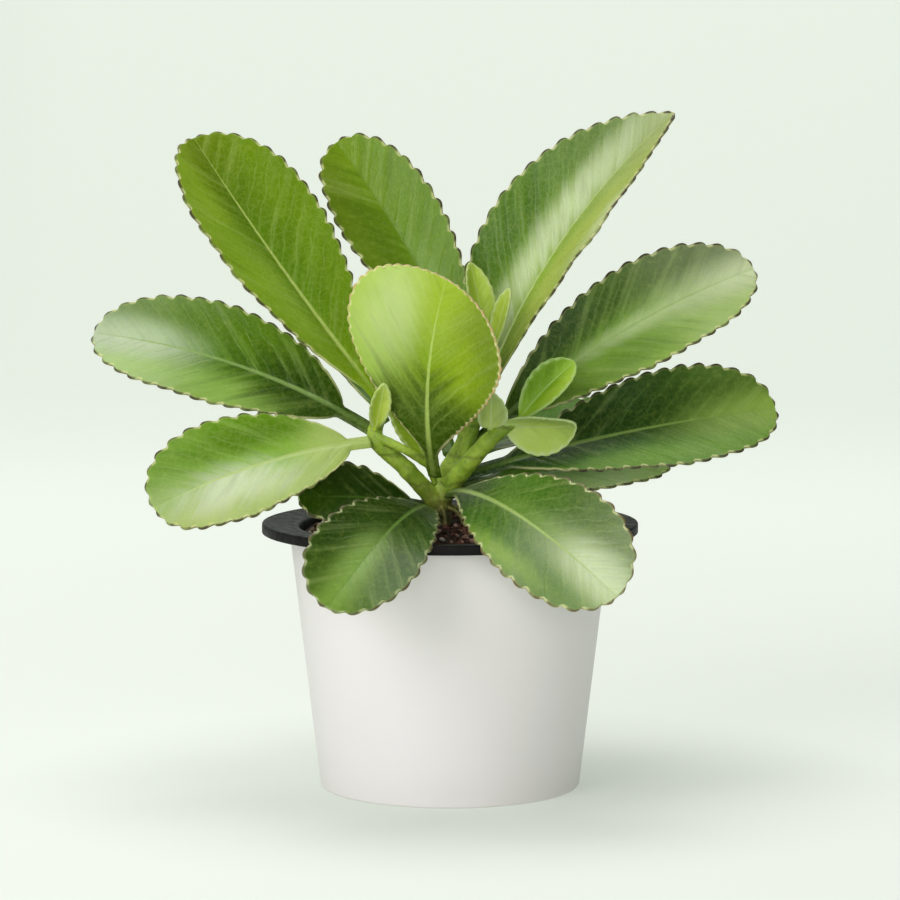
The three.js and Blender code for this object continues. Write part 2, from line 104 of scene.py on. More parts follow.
class Leaf:
    """One leaf: its place and form, as in the frame, and its colours.

    base and tip are the ends of the midrib, and faces is the direction that the upper side looks to, as
    turn and rise in degrees. arch and sweep bow the midrib, cup and fold lift the two halves, and taper
    shapes the outline at the foot and the tip. plus and minus are the colours of the two halves.
    """

    def __init__(self, name, base, tip, faces, width, arch, sweep, cup, fold, taper, stalk, teeth, paint):
        self.name = name
        self.width = width
        self.cup = cup
        self.fold = math.radians(fold)
        self.taper = taper
        self.stalk = stalk
        self.teeth = teeth
        self.paint = paint
        base, tip = np.array(base, float), np.array(tip, float)
        turn, rise = map(math.radians, faces)
        self.face = np.array([
            math.cos(rise) * math.cos(turn), math.cos(rise) * math.sin(turn), math.sin(rise)])
        chord = unit(tip - base)
        across = unit(np.cross(chord, self.face))
        upward = np.cross(across, chord)
        self.ends = base, (base + tip) / 2 + 2 * arch * upward + 2 * sweep * across, tip
        self.share = np.linspace(0, 1, MIDRIB_SAMPLES)
        steps = np.linalg.norm(np.diff(self.midrib(self.share), axis=0), axis=1)
        self.distance = np.concatenate([[0], np.cumsum(steps)])
        self.length = self.distance[-1]

    def midrib(self, t):
        t = np.asarray(t)[:, None]
        base, bend, tip = self.ends
        return (1 - t) ** 2 * base + 2 * t * (1 - t) * bend + t ** 2 * tip

    def half_width(self, t):
        """Half the width in the flat at a share t of the length."""
        foot, tip = self.taper
        q = np.clip((t - self.stalk) / (1 - self.stalk), 0, 1)
        peak = foot / (foot + tip)
        outline = q ** foot * (1 - q) ** tip / (peak ** foot * (1 - peak) ** tip)
        return self.teeth["stalk"] * np.sqrt(1 - q ** 4) + (self.width / 2 - self.teeth["stalk"]) * outline

    def bend_onto(self, x, y):
        """Points and upward normals of the bent sheet over the flat places x, y."""
        inside = np.clip(x, 0, self.length)
        t = np.interp(inside, self.distance, self.share)
        base, bend, tip = self.ends
        s = t[:, None]
        along = unit((1 - s) * (bend - base) + s * (tip - bend))
        side = unit(np.cross(along, self.face))
        up = np.cross(side, along)
        half = self.width / 2
        rounded = np.hypot(y, FOLD_ROUND)
        lift = self.cup * (y / half) ** 2 + (rounded - FOLD_ROUND) * math.sin(self.fold)
        slope = 2 * self.cup * y / half ** 2 + y / rounded * math.sin(self.fold)
        points = (
            self.midrib(t) + along * (x - inside)[:, None]
            + side * (y * math.cos(self.fold))[:, None] + up * lift[:, None])
        return points, unit(up * math.cos(self.fold) - side * slope[:, None])


def unit(v):
    return v / np.linalg.norm(v, axis=-1, keepdims=True)


def smoothstep(low, high, value):
    t = np.clip((value - low) / (high - low), 0, 1)
    return t * t * (3 - 2 * t)


def paint(foot, body, tip, plus, minus, rib, tooth="3c2c26", notch="d9dc9c", gloss=0.3):
    """A leaf's colours. foot, body, tip, plus and minus are its greens with painted light in them: a darker
    foot is painted shade, a paler tip painted sheen, and the two halves differ as painted light and shade.
    rib is the midrib's own colour.
    """
    return {
        "foot": foot, "body": body, "tip": tip, "plus": plus, "minus": minus, "rib": rib,
        "tooth": tooth, "notch": notch, "gloss": gloss,
    }


# The columns are name, base, tip, faces, width, arch, sweep, cup, fold, taper, stalk, teeth and paint.
# Dark feet and bodies are painted shade, as on the shaded and front left leaves, and pale tips painted
# sheen.
LEAF_ROWS = [
    ("leaf_upper_left", (-26, -4, 154), (-105, 34, 261), (-62, 25), 57, 0, -2, 2, 18, (0.95, 0.5), 0.08,
     COARSE, paint("7a9d0c", "5c830b", "6c850b", "6c900b", "92b82a", "b4c96a")),
    ("leaf_back_left", (11, 4, 158), (-47, 48, 259), (-92, 25), 42, -3, 5, 2, 10, (0.9, 0.45), 0.12,
     COARSE, paint("5d7f20", "668c14", "749416", "668c0b", "5f7816", "6c8c30")),
    ("leaf_front_centre", (-6, -10, 127), (-1, -46, 208), (-113, 25), 76, 4, -3, 4, 6, (1.2, 0.45), 0.12,
     FINE, paint("556f0b", "7d9e0b", "a1bd2b", "5c750b", "b3d161", "b8d06c", "c8a878", "e6e0a8", 0.4)),
    ("leaf_upper_right", (8, 2, 138), (92, 36, 271.5), (-132, 20), 66, -2, -18, 0, 33, (1.0, 0.95), 0.12,
     COARSE, paint("4f620b", "83a721", "9fae70", "a0b052", "3e6d0b", "b9cd84")),
    ("leaf_right", (11, 1, 139.5), (124, 26, 208), (-92, 30), 46, 3, -6, 3, 10, (0.85, 0.5), 0.13,
     COARSE, paint("5c7c10", "769f36", "c8d5a8", "86ab32", "2a420b", "9db870")),
    ("leaf_lower_right", (3, -6, 126), (132, 10, 152), (-95, 35), 46, 3, -2, 3, 10, (0.95, 0.45), 0.16,
     COARSE, paint("1c3c0c", "1e440b", "86a445", "528a0b", "2d500b", "7f9c4c")),
    ("leaf_under_right", (3, -2, 122), (89, 22, 132), (-90, 50), 34, 0, 0, 2, 8, (0.9, 0.4), 0.16,
     COARSE, paint("24430a", "6fa02c", "a0c060", "a2c466", "5f8a24", "8fab62")),
    ("leaf_front_right", (0, -10, 120), (63, -100, 91), (-108, 42), 50, 17, 0, 2, 8, (1.3, 0.5), 0.1,
     COARSE, paint("20380c", "40680c", "c8d8a4", "386c0c", "34550c", "a5c06c", "6a5c3c", "dfe3a8")),
    ("leaf_lower_left", (-32, -13, 141), (-116, -42, 117.5), (-90, 40), 49, 3, 3, 2, 8, (0.72, 0.42), 0.1,
     COARSE, paint("a8be63", "83b139", "98b469", "608e0b", "adbe69", "b9cf80")),
    ("leaf_left", (-31, -8, 145), (-145, 19, 182), (-92, 40), 48, 3, 6, 2, 8, (0.7, 0.5), 0.13,
     COARSE, paint("4b610b", "56800d", "b5c5a5", "5a7b0b", "98bf53", "8fae60")),
    ("leaf_shaded_left", (-9, 0, 113), (-60, -30, 120.5), (-80, 38), 30, 3, 0, 2, 8, (0.85, 0.42), 0.14,
     COARSE, paint("24360a", "24400a", "385806", "2c400c", "24400c", "4c6c26")),
    ("leaf_front_left", (-6, -4, 110.5), (-46, -102, 87), (-86, 42), 44, 19, -2, 2, 8, (1.5, 0.5), 0.14,
     COARSE, paint("20380a", "223c0a", "769939", "24400a", "30501a", "6c9040", "5c5238", "bcc690")),
    ("leaf_young_right", (27.5, -14.5, 150), (50, -10, 173), (-100, 20), 16, 0, -1, 3, 20, (0.8, 0.6),
     0.05, SLIGHT, paint("98c030", "84b412", "98c42c", "b4d444", "6c9410", "b4d474", "a8c87c", "bcd88c")),
    ("leaf_cupped_right", (21, -18, 149), (50, -22, 149), (-90, -30), 20, -3, 3, 5, 20, (0.6, 0.6), 0.04,
     SLIGHT, paint("cce484", "c4dc68", "9cb85c", "b4d054", "a9c46c", "bcd48c", "c4d89c", "c8dca0")),
    ("leaf_tip_left", (15, 5, 178), (8, 6, 212), (-60, 10), 13, 0, 0, 2, 20, (0.8, 0.7), 0.05,
     SLIGHT, paint("a0c038", "bcd848", "a4c038", "c0da50", "9cba38", "bcd27c", "b0c07c", "c8d890")),
    ("leaf_tip_right", (17.5, 2.5, 177), (24, 0, 202), (-130, 10), 9, 0, 0, 1, 25, (0.8, 0.7), 0.05,
     SLIGHT, paint("a4c83c", "bcd444", "b8d050", "b8d04c", "c0d850", "c4d888", "b8c888", "ccdc98")),
    ("leaf_node_left", (-30, -13, 146), (-26, -27, 166), (-80, 10), 9, 0, 0, 1, 20, (0.8, 0.7), 0.05,
     SLIGHT, paint("b0c83a", "bcd448", "b8d25e", "cce068", "b4d03c", "c8da80", "b0c07c", "c8d890")),
    ("leaf_inner_left", (-6, -3, 123), (-23.5, -10.5, 161), (-95, 10), 13, 0, 1, 1, 20, (0.9, 0.7), 0.25,
     SLIGHT, paint("7c9820", "a0c02c", "a8c83c", "acc83c", "8da822", "b4cc70", "b0c07c", "c8d890")),
    ("leaf_bract_right", (16, -18, 146.5), (16.5, -22, 162), (-80, -10), 13, 0, 0, 3, 20, (0.6, 0.8),
     0.05, SLIGHT, paint("c4dc78", "bcd06c", "b4cc7c", "cce08c", "a8c46a", "c4d898", "c4d89c", "c8dca0")),
    ("leaf_far_centre", (0, 4, 134), (-16, 86, 172), (-80, 62), 44, 4, 0, 2, 8, (0.9, 0.45), 0.12,
     COARSE, paint("4c7018", "5f9028", "7fa54c", "6a9830", "548420", "96b468")),
    ("leaf_far_right", (3.5, 3, 131.5), (87, 84, 140.5), (-100, 72), 40, 6, 0, 2, 8, (0.9, 0.45), 0.12,
     COARSE, paint("486f10", "527d20", "6f9844", "5c8828", "578c18", "8aab5e")),
    ("leaf_far_left", (-27, -6, 149), (-52, 80, 196), (-60, 60), 36, 0, 0, 2, 8, (0.9, 0.45), 0.12,
     COARSE, paint("486f10", "5f9028", "7ba348", "6a9830", "548420", "96b468")),
    ("leaf_far_low", (-1, 2, 118), (41, 84, 111), (-90, 80), 40, 2, 0, 2, 8, (0.9, 0.45), 0.12,
     COARSE, paint("385810", "4d761c", "6a9240", "588428", "447018", "86a85c")),
]
LEAVES = [Leaf(*row) for row in LEAF_ROWS]

# Soft patches of painted highlight, pale, and of painted shade, deep green, as rows of colour, strength,
# place and reach. The place and the reach are shares of the length and of half the width.
PAINTED_LIGHT_PATCHES = {
    "leaf_upper_left": [
        ("96b83c", 0.5, (0.42, -0.3), (0.3, 0.3)), ("4e7408", 0.5, (0.75, 0.1), (0.3, 0.5))],
    "leaf_back_left": [
        ("9cc068", 0.35, (0.38, 0.2), (0.26, 0.3)), ("4c6c10", 0.5, (0.6, -0.3), (0.35, 0.4))],
    "leaf_front_centre": [
        ("c8dc94", 0.7, (0.78, -0.5), (0.3, 0.45)), ("9cbc10", 0.6, (0.62, 0.45), (0.3, 0.45)),
        ("365006", 0.9, (0.2, 0.05), (0.4, 1.2)), ("3c5806", 0.75, (0.3, 0), (0.24, 1.2))],
    "leaf_upper_right": [
        ("d6e6b8", 0.85, (0.6, -0.2), (0.5, 0.27)), ("d0dab0", 0.6, (0.68, 0.85), (0.26, 0.25)),
        ("3c6408", 0.6, (0.4, -0.75), (0.35, 0.4)), ("a8bc40", 0.7, (0.45, 0.55), (0.4, 0.5)),
        ("34500c", 0.7, (0.12, 0), (0.2, 1.0))],
    "leaf_right": [
        ("28440a", 0.85, (0.35, -0.55), (0.3, 0.6)), ("c4d89c", 0.7, (0.62, 0.02), (0.35, 0.25)),
        ("5c8424", 0.6, (0.5, 0.6), (0.3, 0.4)), ("2c4a08", 0.8, (0.1, 0.1), (0.26, 1.2))],
    "leaf_lower_right": [
        ("1c3806", 0.85, (0.48, -0.35), (0.4, 0.6)), ("78a43c", 0.7, (0.55, 0.7), (0.4, 0.35)),
        ("88a850", 0.5, (0.85, 0.2), (0.2, 0.6))],
    "leaf_front_right": [
        ("d8e8c0", 0.6, (0.9, -0.1), (0.2, 0.5)), ("9cc060", 0.25, (0.55, -0.1), (0.25, 0.25)),
        ("1c340c", 0.8, (0.15, 0), (0.22, 1.0)), ("9cc04c", 0.6, (0.6, 0.75), (0.3, 0.3)),
        ("4c7820", 0.6, (0.45, -0.55), (0.25, 0.4))],
    "leaf_lower_left": [
        ("dce8c4", 0.75, (0.64, -0.24), (0.36, 0.55)), ("4c7408", 0.7, (0.48, 0.55), (0.35, 0.4)),
        ("b8cc78", 0.5, (0.2, -0.2), (0.2, 0.8))],
    "leaf_left": [
        ("223e04", 0.9, (0.26, 0.05), (0.32, 0.9)), ("c4d6ac", 0.6, (0.82, 0), (0.22, 0.5)),
        ("54780c", 0.5, (0.6, 0.65), (0.3, 0.4))],
    "leaf_front_left": [
        ("8cb058", 0.6, (0.78, 0.05), (0.22, 0.4)), ("1e3808", 0.85, (0.3, 0.1), (0.34, 0.9)),
        ("1c3408", 0.8, (0.62, 0.8), (0.35, 0.35))],
    "leaf_shaded_left": [("1c3806", 0.85, (0.42, 0.1), (0.4, 0.8))],
}

# The material slot of each node, as the record lists it.
LEAF_SLOTS = {s["node"]: s["material_slot"] for s in frame["record"]["subparts"]}

# Each shoot is a row of points with the shoot's radius there: (x, y, z, radius).
SHOOTS = [
    [(-4, 0, 78, 4.2), (-4, 0, 106, 4.8), (-4, 0, 117, 5), (1, 0, 130, 4.4), (7, 2, 141, 4),
     (12, 4, 162, 3), (16, 4, 180, 2.2)],
    [(-4, -1, 114, 4), (-18, -7, 130, 3.5), (-30, -10, 143, 3.4), (-27, -7, 153, 2.4)],
    [(0, -4, 122, 3.8), (8, -11, 133, 3.9), (19, -16, 145, 3.1), (28, -15, 150, 1.9)],
    [(-29, -12, 143, 1.8), (-18, -14, 138, 1.8), (-6, -8, 130, 2)],
    [(0, -4, 120, 2.6), (6, -7, 138, 2.3), (13, -9, 156, 1.8), (17, -9, 170, 1.2)],
]
# The joints' first height and pitch, and the shoots' girth between joints and what a joint adds.
JOINTS = {"first": 117, "pitch": 12, "slim": 0.97, "swell": 0.1}
WOODY_HEIGHTS = (110, 126)  # woody below, green above
ROOTS = {
    "count": 7, "radius": 0.8, "start": 1.5, "top": (113, 116), "reach": (7.2, 14.4), "arch": 9, "depth": 4,
    "seed": 7,
}

# ----- shader graphs -----


def linear(code):
    """A colour of six hex digits as a linear RGBA value."""
    values = [int(code[i:i + 2], 16) / 255 for i in (0, 2, 4)]
    return (*[v / 12.92 if v <= 0.04045 else ((v + 0.055) / 1.055) ** 2.4 for v in values], 1)


class Graph:
    """A material's node tree. Inputs are plain numbers, colour codes or sockets."""

    def __init__(self, name, **constants):
        self.material = bpy.data.materials.new(name)
        self.material.use_nodes = True
        self.tree = self.material.node_tree
        self.shader = self.tree.nodes["Principled BSDF"]
        self.set(**constants)

    def set(self, **values):
        """Feeds the shader's sockets, named with _ in place of each space."""
        for name, value in values.items():
            self.feed(self.shader.inputs[name.replace("_", " ")], value)

    def feed(self, socket, value):
        if isinstance(value, bpy.types.NodeSocket):
            self.tree.links.new(value, socket)
        elif isinstance(value, str):
            socket.default_value = linear(value)
        else:
            socket.default_value = value

    def add(self, kind, inputs=(), **settings):
        node = self.tree.nodes.new("ShaderNode" + kind)
        for name, value in settings.items():
            setattr(node, name, value)
        for name, value in dict(inputs).items():
            self.feed(node.inputs[name], value)
        return node

    def math(self, operation, a, b=0):
        return self.add("Math", {0: a, 1: b}, operation=operation).outputs[0]

    def plus(self, a, b):
        return self.math("ADD", a, b)

    def minus(self, a, b):
        return self.math("SUBTRACT", a, b)

    def times(self, a, b):
        return self.math("MULTIPLY", a, b)

    def length(self, a, b):
        """The hypotenuse of a and b."""
        return self.math("SQRT", self.plus(self.times(a, a), self.times(b, b)))

    def band(self, value, low, high, start=0, end=1):
        """Goes smoothly from start to end while the value goes from low to high."""
        inputs = {"Value": value, "From Min": low, "From Max": high, "To Min": start, "To Max": end}
        return self.add("MapRange", inputs, interpolation_type="SMOOTHSTEP").outputs[0]

    def mix(self, factor, a, b):
        """Colour a where the factor is 0, and b where it is 1."""
        return self.add("Mix", {0: factor, 6: a, 7: b}, data_type="RGBA").outputs[2]

    def position(self):
        return self.add("NewGeometry").outputs["Position"]

    def noise(self, scale, detail=3, roughness=0.55, vector=None):
        inputs = {"Scale": scale, "Detail": detail, "Roughness": roughness}
        inputs["Vector"] = vector or self.position()
        return self.add("TexNoise", inputs).outputs["Fac"]

    def sway(self, scale, reach):
        """A smooth offset, of up to half the reach to each side."""
        return self.times(self.minus(self.noise(scale, 2), 0.5), reach)

    def repeat(self, value, pitch):
        """Distance from the middle of each pitch, as a share of the pitch."""
        share = self.math("FRACT", self.math("DIVIDE", value, pitch))
        return self.math("ABSOLUTE", self.minus(share, 0.5))

    def split(self, vector):
        return self.add("SeparateXYZ", {0: vector}).outputs

    def attribute(self, name):
        return self.split(self.add("Attribute", attribute_name=name).outputs["Vector"])

    def bump(self, height, distance, strength=1):
        inputs = {"Height": height, "Distance": distance, "Strength": strength}
        self.set(Normal=self.add("Bump", inputs).outputs[0])


# ----- leaf material -----

VEIN_PITCH = 8.5  # between two side veins, along the midrib
VEIN_LEAN = 1.15  # how far a vein runs to the tip for each step away from the midrib
GRAIN_ACROSS, GRAIN_ALONG = 0.22, 0.035  # of the streaks
# Pale streaks are painted sheen and deep streaks painted shade.
PAINTED_SHEEN_STREAK, PAINTED_SHADE_STREAK = "c4d888", "2c4a06"
CLOUD, SPECK = "2c4a10", "cadc64"
UNDERSIDE, UNDERSIDE_VEIN = "a2bb74", "76964a"


class LeafGraph(Graph):
    """A leaf's material, with the places on the leaf that its colours follow.

    x and y run along and across the flat leaf, and upper is 1 on the upper side. along is x as a share of
    the length, rim is the distance from the edge, and crown is how far up a tooth a point is.
    """

    def __init__(self, leaf):
        super().__init__(
            leaf.name, Subsurface_Weight=0.12, Subsurface_Scale=0.002, Subsurface_Radius=(0.7, 1, 0.2),
            Specular_IOR_Level=0.18)
        self.leaf = leaf
        self.half = leaf.width / 2
        self.x, self.y, self.upper = self.attribute("flat")
        self.along, self.rim, self.crown = self.attribute("edge")
        self.away = self.math("ABSOLUTE", self.y)
        self.lean = self.minus(self.x, self.times(self.away, VEIN_LEAN))
        grain = {0: self.times(self.lean, GRAIN_ACROSS), 1: self.times(self.y, GRAIN_ALONG), 2: leaf.length}
        self.streak = self.noise(1, 3, 0.5, self.add("CombineXYZ", grain).outputs[0])


def leaf_greens(g):
    """The leaf's greens from foot to tip and on its two halves, with painted shade at the foot, painted
    sheen at the tip and painted light and shade on the halves.
    """
    colours = g.leaf.paint
    flesh = g.mix(g.band(g.along, 0.02, 0.45), colours["foot"], colours["body"])
    flesh = g.mix(g.band(g.along, 0.5, 1), flesh, colours["tip"])
    beside = g.band(g.away, 0.05 * g.half, 0.6 * g.half)
    beside = g.times(beside, g.band(g.along, 0.15, 0.4))
    side = g.mix(g.band(g.y, -1, 1), colours["minus"], colours["plus"])
    return g.mix(g.times(beside, 0.7), flesh, side)


def leaf_painted_light_patches(g, flesh):
    """Soft patches of painted highlight and painted shade, ragged along the streaks."""
    ragged = g.times(g.minus(g.streak, 0.5), 1.2)
    for colour, strength, (t, f), (reach_t, reach_f) in PAINTED_LIGHT_PATCHES.get(g.leaf.name, ()):
        far_t = g.times(g.minus(g.along, t), 1 / reach_t)
        far_f = g.times(g.minus(g.y, f * g.half), 1 / (reach_f * g.half))
        far = g.plus(g.length(far_t, far_f), ragged)
        flesh = g.mix(g.band(far, 0.1, 1.15, strength, 0), flesh, colour)
    return flesh


def leaf_mottling(g, flesh):
    """Pale streaks of painted sheen and deep streaks of painted shade that run as the veins do, deeper
    clouds and fine pale specks.
    """
    pale = g.band(g.streak, 0.5, 0.75, 0, 0.3)
    flesh = g.mix(pale, flesh, g.mix(0.45, flesh, PAINTED_SHEEN_STREAK))
    deep = g.band(g.streak, 0.25, 0.5, 0.35, 0)
    flesh = g.mix(deep, flesh, g.mix(0.5, flesh, PAINTED_SHADE_STREAK))
    cloud = g.times(g.band(g.noise(55, 3), 0.3, 0.7), 0.22)
    flesh = g.mix(cloud, flesh, g.mix(0.5, flesh, CLOUD))
    speck = g.times(g.band(g.noise(420, 4, 0.6), 0.45, 0.75), 0.16)
    return g.mix(speck, flesh, g.mix(0.5, flesh, SPECK))


def leaf_veins(g):
    """1 along each side vein, which wanders a little, and 0 between them and at the edge."""
    stripe = g.repeat(g.plus(g.lean, g.sway(70, 9)), VEIN_PITCH)
    vein = g.band(stripe, 0.02, 0.11, 1, 0)
    return g.times(vein, g.band(g.rim, 1, 0.35 * g.half))


def leaf_net(g):
    """1 on the fine net between the veins, and 0 in its cells."""
    inputs = {"Vector": g.position(), "Scale": 330}
    cells = g.add("TexVoronoi", inputs, feature="DISTANCE_TO_EDGE")
    return g.band(cells.outputs["Distance"], 0.02, 0.14, 1, 0)


def leaf_midrib(g):
    """1 on the midrib, which narrows to the tip and is faint on the stalk."""
    stalk = g.leaf.stalk
    width = g.band(g.along, 0, 1, min(1.5, 0.11 * g.half), 0.35)
    rib = g.band(g.math("DIVIDE", g.away, width), 0.35, 1.25, 1, 0)
    rib = g.times(rib, g.band(g.along, 0.5 * stalk, stalk + 0.15, 0.25, 1))
    return g.times(rib, g.band(g.along, 0.7, 1, 0.8, 0.3))


def leaf_margin(g, flesh):
    """A pale margin between the teeth and a dark one on them. The stalk has neither."""
    colours, stalk = g.leaf.paint, g.leaf.stalk
    blade = g.band(g.along, 0.8 * stalk, stalk + 0.1)
    patch = g.band(g.noise(160, 2), 0.3, 0.62)
    pale = g.band(g.rim, 0.35, 1.5, 1, 0)
    pale = g.times(pale, g.band(g.crown, 0.35, 0.8, 1, 0.35))
    flesh = g.mix(g.times(g.times(pale, blade), 0.75), flesh, colours["notch"])
    tooth = g.times(g.band(g.rim, 0.5, 1.15, 1, 0), g.band(g.crown, 0.3, 0.75))
    tooth = g.times(tooth, g.band(patch, 0, 1, 0.55, 1))
    line = g.times(g.band(g.rim, 0.1, 0.45, 1, 0), g.band(patch, 0, 1, 0.25, 0.8))
    dark = g.times(g.math("MAXIMUM", tooth, line), blade)
    strength = 0.4 if g.leaf.teeth is SLIGHT else 0.92
    return g.mix(g.times(dark, strength), flesh, colours["tooth"])


def leaf_material(leaf):
    """Waxy flesh in the leaf's own greens, with a midrib, side veins and dark crowned teeth."""
    g = LeafGraph(leaf)
    rib, gloss = leaf.paint["rib"], leaf.paint["gloss"]
    vein, net = leaf_veins(g), leaf_net(g)
    # Greens with painted shade and sheen, patches of painted highlight and shade, and painted sheen streaks.
    flesh = leaf_mottling(g, leaf_painted_light_patches(g, leaf_greens(g)))
    flesh = g.mix(g.times(vein, 0.17), flesh, g.mix(0.6, flesh, rib))
    flesh = g.mix(g.times(net, 0.07), flesh, rib)
    flesh = leaf_margin(g, g.mix(leaf_midrib(g), flesh, rib))
    below = g.mix(g.times(vein, 0.35), g.mix(0.5, flesh, UNDERSIDE), UNDERSIDE_VEIN)
    g.set(Base_Color=g.mix(g.upper, below, flesh))
    g.set(Roughness=g.band(g.noise(900, 2), 0.2, 0.8, gloss - 0.05, gloss + 0.09))
    relief = g.minus(g.times(g.noise(600, 3), 0.35), g.plus(g.times(vein, 0.4), g.times(net, 0.25)))
    g.bump(g.plus(relief, g.times(g.streak, 3)), 0.00012)
    return g.material


# ----- the other materials -----


def planter_material():
    """Smooth white moulded pot, with a very fine even grain and a little dust at its foot."""
    g = Graph("white_planter", Coat_Weight=0.1, Coat_Roughness=0.35)
    colour = g.mix(g.band(g.noise(9, 2), 0.3, 0.7), "e9e5e6", "e6e2e2")
    height = g.split(g.position())[2]
    dust = g.times(g.band(height, 0, 0.02, 1, 0), g.noise(60, 4))
    g.set(Base_Color=g.mix(g.times(dust, 0.25), colour, "cac5be"))
    g.set(Roughness=g.band(g.noise(140, 4, 0.6), 0.3, 0.7, 0.42, 0.5))
    g.bump(g.noise(2600, 2), 0.00004, 0.35)
    return g.material


def liner_material():
    """Thin black pot plastic, with brown dust and pale scuffs."""
    g = Graph("black_pot", Specular_IOR_Level=0.15)
    scuff = g.band(g.noise(190, 6, 0.7), 0.56, 0.72)
    dust = g.band(g.noise(40, 4), 0.42, 0.7)
    colour = g.mix(g.times(dust, 0.3), "0a0909", "221c18")
    g.set(Base_Color=g.mix(g.times(scuff, 0.25), colour, "4a4640"))
    g.set(Roughness=g.band(g.noise(300, 3), 0.25, 0.75, 0.46, 0.66))
    g.bump(g.noise(1500, 3), 0.00006, 0.4)
    return g.material


def soil_material():
    """Bark and peat. Each chip has its own shade, kept in its points."""
    g = Graph("potting_soil", Specular_IOR_Level=0.25)
    shade = g.attribute("shade")[0]
    colour = g.mix(g.band(shade, 0, 0.35), "2a1c16", "4a3024")
    colour = g.mix(g.band(shade, 0.35, 0.7), colour, "7c5444")
    colour = g.mix(g.band(shade, 0.7, 0.86), colour, "b49484")
    colour = g.mix(g.band(shade, 0.93, 0.97), colour, "e2dcd0")
    grain = g.noise(1400, 5, 0.65)
    g.set(Base_Color=g.mix(g.band(grain, 0.35, 0.75), colour, g.mix(0.55, colour, "1c120e")))
    g.set(Roughness=g.band(grain, 0.3, 0.7, 0.7, 0.95))
    g.bump(grain, 0.0005, 0.8)
    return g.material


def stem_material():
    """Green shoots that turn woody and tan low down, with leaf scars and lenticel flecks."""
    g = Graph("green_stem", Subsurface_Weight=0.1, Subsurface_Scale=0.0015)
    height = g.split(g.position())[2]
    tone = g.band(g.noise(120, 4), 0.3, 0.7)
    green, woody = g.mix(tone, "789a20", "a6c242"), g.mix(tone, "4c4a1c", "807a38")
    low, high = WOODY_HEIGHTS
    colour = g.mix(g.band(g.plus(height, g.sway(150, 0.012)), low * MM, high * MM), woody, green)
    ring = g.repeat(g.plus(height, g.times(g.noise(90, 2), 0.006)), JOINTS["pitch"] * MM)
    scar = g.band(ring, 0.02, 0.09, 1, 0)
    colour = g.mix(g.times(scar, 0.45), colour, "5a6420")
    flecks = g.band(g.noise(520, 3), 0.58, 0.7)
    g.set(Base_Color=g.mix(g.times(flecks, 0.4), colour, "5c5234"))
    g.set(Roughness=g.band(g.noise(700, 2), 0.3, 0.7, 0.45, 0.65))
    g.bump(g.minus(g.noise(900, 4, 0.6), g.times(scar, 0.8)), 0.0003, 0.6)
    return g.material


# ----- mesh helpers -----

ROUND_STEPS = 4


def new_piece(name, points, faces, material):
    """A smooth mesh object from points in millimetres. Corners that coincide in a face are left out."""
    mesh = bpy.data.meshes.new(name)
    clean = [tuple(dict.fromkeys(face)) for face in faces]
    mesh.from_pydata([tuple(p) for p in np.asarray(points) * MM], [], [f for f in clean if len(f) > 2])
    mesh.polygons.foreach_set("use_smooth", [True] * len(mesh.polygons))
    mesh.materials.append(material)
    piece = bpy.data.objects.new(name, mesh)
    bpy.context.scene.collection.objects.link(piece)
    return piece


def stand_for(piece, slot, *nodes):
    """Makes the piece ride on the part, in place of its plain nodes."""
    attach(piece, "root")
    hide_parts(*nodes)


def add_vectors(piece, name, *columns):
    """Keeps three numbers for each point, which the material reads."""
    attribute = piece.data.attributes.new(name, "FLOAT_VECTOR", "POINT")
    attribute.data.foreach_set("vector", np.stack(columns, 1).astype(float).ravel())


def apply_modifiers(piece):
    """Keeps the shape that the piece's modifiers give, and removes them."""
    graph = bpy.context.evaluated_depsgraph_get()
    shaped = bpy.data.meshes.new_from_object(piece.evaluated_get(graph))
    piece.modifiers.clear()
    piece.data = shaped


def roughen(piece, pitch, depth):
    """Moves each point along its normal by a smooth noise."""
    vertices = piece.data.vertices
    places = np.array([v.co for v in vertices])
    normals = np.array([v.normal for v in vertices])
    grain = np.array([noise.fractal(Vector(p) * pitch, 0.8, 2.1, 3) for p in places / MM])
    places += normals * grain[:, None] * depth * MM
    vertices.foreach_set("co", places.ravel())


def rounded(corners):
    """A profile from corners of (radius, height, rounding), with a support point beside each round."""
    profile = []
    for i, (radius, height, rounding) in enumerate(corners):
        here = np.array([radius, height], float)
        if rounding == 0:
            profile.append(here)
            continue
        before = unit(np.array(corners[i - 1][:2], float) - here)
        after = unit(np.array(corners[i + 1][:2], float) - here)
        profile.append(here + before * rounding * 2)
        for k in range(ROUND_STEPS + 1):
            t = k / ROUND_STEPS
            profile.append(here + before * rounding * (1 - t) ** 2 + after * rounding * t ** 2)
        profile.append(here + after * rounding * 2)
    return profile


def turned(profile, sides):
    """Points and faces of a profile of (radius, height), from axis to axis, turned about Z."""
    angles = np.linspace(0, 2 * math.pi, sides, endpoint=False)
    points, rings, faces = [], [], []
    for radius, height in profile:
        first = len(points)
        if radius < 1e-6:
            points.append((0, 0, height))
            rings.append([first] * sides)
            continue
        points += [(radius * math.cos(a), radius * math.sin(a), height) for a in angles]
        rings.append(list(range(first, first + sides)))
    for low, high in zip(rings, rings[1:]):
        for i in range(sides):
            j = (i + 1) % sides
            faces.append((low[i], low[j], high[j], high[i]))
    return points, faces


# ----- pots -----

POT_SIDES = 192
HOLE_SIDES = 24
DRILL_REACH = 4  # below and above the middle of the bottom


def make_planter():
    height, top, base = PLANTER["height"], PLANTER["top"], PLANTER["base"]
    wall, floor, rim = PLANTER["wall"], PLANTER["floor"], PLANTER["rim_round"]
    profile = rounded([
        (0, 0, 0),
        (base, 0, PLANTER["foot_round"]),
        (top, height, rim),
        (top - wall, height, rim),
        (base - wall + PLANTER["flare"], floor, PLANTER["floor_round"]),
        (0, floor, 0),
    ])
    piece = new_piece("white_planter", *turned(profile, POT_SIDES), planter_material())
    stand_for(piece, "white_planter", "planter")


